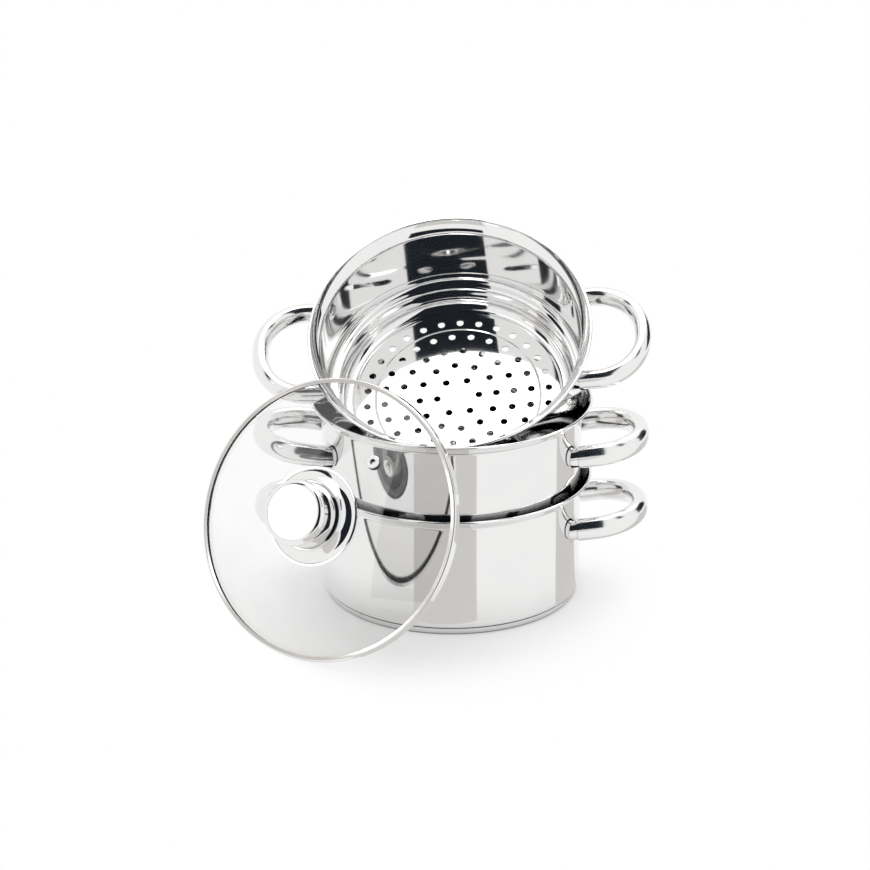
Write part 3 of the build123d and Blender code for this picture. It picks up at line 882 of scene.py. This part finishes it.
def moulded(name, dark, light, grain, roughness):
    """A moulded piece's material: a dull, faintly mottled surface with a fine pebble grain."""
    material, tree = new_material(name)
    coords = add(tree, "ShaderNodeTexCoord")
    mottle = add(
        tree,
        "ShaderNodeTexNoise",
        [("Vector", coords.outputs["Object"]), ("Scale", 1 / (grain * MM)), ("Detail", 3.0)],
    )
    tone = add(tree, "ShaderNodeValToRGB", [("Fac", mottle.outputs["Fac"])])
    tone.color_ramp.elements[0].color = linear(dark)
    tone.color_ramp.elements[1].color = linear(light)
    relief = add(
        tree,
        "ShaderNodeBump",
        [("Height", mottle.outputs["Fac"]), ("Strength", 0.2), ("Distance", GRAIN_DEPTH * MM)],
    )
    shader = add(
        tree,
        "ShaderNodeBsdfPrincipled",
        [
            ("Base Color", tone.outputs["Color"]),
            ("Roughness", roughness),
            ("Normal", relief.outputs["Normal"]),
        ],
    )
    add(tree, "ShaderNodeOutputMaterial", [("Surface", shader.outputs["BSDF"])])
    return material


# Phenolic moulding is near black and matt. Silicone rubber is milky and has a soft, dull sheen.
coat("knob_core", moulded("phenolic_moulding", "#1B1A1A", "#262524", CORE_GRAIN, 0.5))
coat("knob_gasket", moulded("silicone_rubber", "#D9D9D5", "#E6E5E1", GASKET_GRAIN, 0.55))

# Table: a wide white board that the set stands on, painted matt.
# It takes the set's shadow, and fades to plain white about a hand's breadth away from the pot.
TABLE_HALF = 6.0
SHADOW_INNER = 0.125
SHADOW_OUTER = 0.205
SHADOW_OVAL = (1.4, 1.0, 1.0)
SHADOW_LIFT = 0.5
table_mesh = bpy.data.meshes.new("table")
table_corners = [(x * TABLE_HALF, y * TABLE_HALF, 0) for x, y in ((-1, -1), (1, -1), (1, 1), (-1, 1))]
table_mesh.from_pydata(table_corners, [], [(0, 1, 2, 3)])
table = bpy.data.objects.new("table", table_mesh)
bpy.context.scene.collection.objects.link(table)


def shown(tree):
    """1 for what the eye, a mirror or glass looks at, and 0 for the light that falls on things."""
    path = add(tree, "ShaderNodeLightPath")
    direct = add(
        tree,
        "ShaderNodeMath",
        [(0, path.outputs["Is Camera Ray"]), (1, path.outputs["Is Glossy Ray"])],
        operation="MAXIMUM",
    )
    seen = add(
        tree,
        "ShaderNodeMath",
        [(0, direct.outputs[0]), (1, path.outputs["Is Transmission Ray"])],
        operation="MAXIMUM",
    )
    return seen.outputs[0]


# White paint, matt: it has no gloss, and part of its white is its own light, so that it isn't grey.
white_paint, tree = new_material("matt_white_paint")
coords = add(tree, "ShaderNodeTexCoord")
oval = add(tree, "ShaderNodeMapping", [("Vector", coords.outputs["Object"]), ("Scale", SHADOW_OVAL)])
away = add(tree, "ShaderNodeVectorMath", [(0, oval.outputs["Vector"])], operation="LENGTH")
bleach = add(
    tree,
    "ShaderNodeMapRange",
    [
        ("Value", away.outputs["Value"]),
        ("From Min", SHADOW_INNER),
        ("From Max", SHADOW_OUTER),
        ("To Min", SHADOW_LIFT),
        ("To Max", 1.0),
    ],
)
share = add(
    tree, "ShaderNodeMath", [(0, shown(tree)), (1, bleach.outputs["Result"])], operation="MULTIPLY"
)
paint = add(
    tree,
    "ShaderNodeBsdfPrincipled",
    [("Base Color", linear("#F7F7F7")), ("Roughness", 0.6), ("Specular IOR Level", 0.0)],
)
white = add(tree, "ShaderNodeEmission", [("Color", linear("#FFFFFF")), ("Strength", 1.0)])
lit = add(
    tree,
    "ShaderNodeMixShader",
    [(0, share.outputs[0]), (1, paint.outputs["BSDF"]), (2, white.outputs["Emission"])],
)
add(tree, "ShaderNodeOutputMaterial", [("Surface", lit.outputs[0])])
table.data.materials.append(white_paint)

# Studio cards: boards hung round the set, as is done for polished steel, which shows only its room.
# They are painted card, flat and even in colour. Mirror images show them, and nothing else does.
FLAG_BLACK = "#20252B"
STRIP_BLACK = "#2A2C30"
BACK_BLACK = "#1E2024"
TAUPE = "#CFCBC7"
PALE_GREY = "#D8D6D3"
CARD_LIFT = 0.001


def card(name, colour, corners):
    """A card that only reflections show: it takes no light and throws no shadow."""
    material, tree = new_material("painted_card")
    path = add(tree, "ShaderNodeLightPath")
    clear = add(tree, "ShaderNodeBsdfTransparent")
    face = add(tree, "ShaderNodeEmission", [("Color", linear(colour)), ("Strength", 1.0)])
    mirrored = add(
        tree,
        "ShaderNodeMixShader",
        [(0, path.outputs["Glossy Depth"]), (1, clear.outputs["BSDF"]), (2, face.outputs["Emission"])],
    )
    add(tree, "ShaderNodeOutputMaterial", [("Surface", mirrored.outputs[0])])
    mesh = bpy.data.meshes.new(name)
    mesh.from_pydata(corners, [], [(0, 1, 2, 3)])
    mesh.materials.append(material)
    piece = bpy.data.objects.new(name, mesh)
    bpy.context.scene.collection.objects.link(piece)
    piece.visible_camera = False
    piece.visible_diffuse = False
    piece.visible_shadow = False


# The dark flag hangs before the camera, which looks through it, and a dark strip stands on either side.
# They are what the tipped tier shows as dark patches.
card(
    "dark_flag",
    FLAG_BLACK,
    [(-1.02, -2.0, 0.01), (0.71, -2.0, 0.01), (0.214, -0.6, 2.0), (-0.306, -0.6, 2.0)],
)
card(
    "right_strip",
    STRIP_BLACK,
    [(1.27, -0.89, 1.0), (1.43, -0.58, 1.0), (0.95, -0.38, 1.7), (0.84, -0.59, 1.7)],
)
card(
    "left_strip",
    STRIP_BLACK,
    [(-1.34, -0.77, 1.0), (-1.47, -0.48, 1.0), (-0.97, -0.32, 1.7), (-0.88, -0.51, 1.7)],
)
# The taupe card tones the lid's band, and the flag at the back right is for the steel that faces it.
card(
    "left_card",
    TAUPE,
    [(-1.76, -0.6, 1.04), (-1.45, -1.15, 1.04), (-1.64, -1.26, 0.48), (-1.95, -0.71, 0.48)],
)
card(
    "right_flag",
    BACK_BLACK,
    [(1.0, 0.2, 0.1), (0.68, 0.62, 0.1), (0.68, 0.62, 0.6), (1.0, 0.2, 0.6)],
)
# Two cards lie on the table for the upright grey strips in the walls of the pot and the middle tier.
card(
    "side_card",
    PALE_GREY,
    [(0.08, -0.052, CARD_LIFT), (0.6, 0.102, CARD_LIFT), (0.5, 0.45, CARD_LIFT), (0.084, -0.02, CARD_LIFT)],
)
card(
    "grey_card",
    PALE_GREY,
    [
        (-0.039, -0.105, CARD_LIFT),
        (0.026, -0.11, CARD_LIFT),
        (0.236, -0.648, CARD_LIFT),
        (-0.355, -0.589, CARD_LIFT),
    ],
)

# Room: white on all sides, as in a light tent, and plain white wherever it is seen.
# It lights the set a little less brightly than it looks, which leaves room for the soft boxes.
ROOM_LIGHT = 0.66
ROOM_WHITE = 1.0
room = bpy.data.worlds.new("room")
bpy.context.scene.world = room
room.use_nodes = True
tree = room.node_tree
tree.nodes.clear()
level = add(
    tree, "ShaderNodeMapRange", [("Value", shown(tree)), ("To Min", ROOM_LIGHT), ("To Max", ROOM_WHITE)]
)
sky = add(
    tree,
    "ShaderNodeBackground",
    [("Color", linear("#FFFFFF")), ("Strength", level.outputs["Result"])],
)
add(tree, "ShaderNodeOutputWorld", [("Surface", sky.outputs["Background"])])

# Soft boxes: a large one overhead for the pierced floors, and one behind on the right for the shadow.
# A small one on the left puts the white light on the flat of the knob.
SET_MIDDLE = (0, 0, 0.1)
KNOB_TOP = (-0.104, -0.141, 0.106)


def soft_box(name, spot, aim, size, power):
    """A square soft box that hangs at a spot and points at its aim."""
    lamp = bpy.data.lights.new(name, "AREA")
    lamp.shape = "SQUARE"
    lamp.size = size
    lamp.energy = power
    box = bpy.data.objects.new(name, lamp)
    box.location = spot
    box.rotation_euler = (Vector(aim) - Vector(spot)).to_track_quat("-Z", "Y").to_euler()
    bpy.context.scene.collection.objects.link(box)


soft_box("soft_box_overhead", (0.0, 0.1, 1.9), SET_MIDDLE, size=1.5, power=9.0)
soft_box("soft_box_back", (0.8, 0.7, 1.6), SET_MIDDLE, size=0.9, power=11.0)
soft_box("soft_box_left", (-1.6, -0.985, 0.797), KNOB_TOP, size=0.24, power=0.3)

# Camera: a long lens from about 2.5 m, a little above the set and looking down on it.
# The distance, the height and the lens were worked out from the outlines of the round rims.
CAMERA_SPOT = (-0.0117, -2.3672, 1.0422)
CAMERA_PITCH = math.radians(68.57)
SENSOR_WIDTH = 36.0
FOCAL_LENGTH = 150.5
lens = bpy.data.cameras.new("camera")
lens.sensor_width = SENSOR_WIDTH
lens.lens = FOCAL_LENGTH
camera = bpy.data.objects.new("camera", lens)
camera.location = CAMERA_SPOT
camera.rotation_euler = (CAMERA_PITCH, 0, 0)
bpy.context.scene.collection.objects.link(camera)
bpy.context.scene.camera = camera
bpy.context.scene.view_settings.view_transform = "Standard"
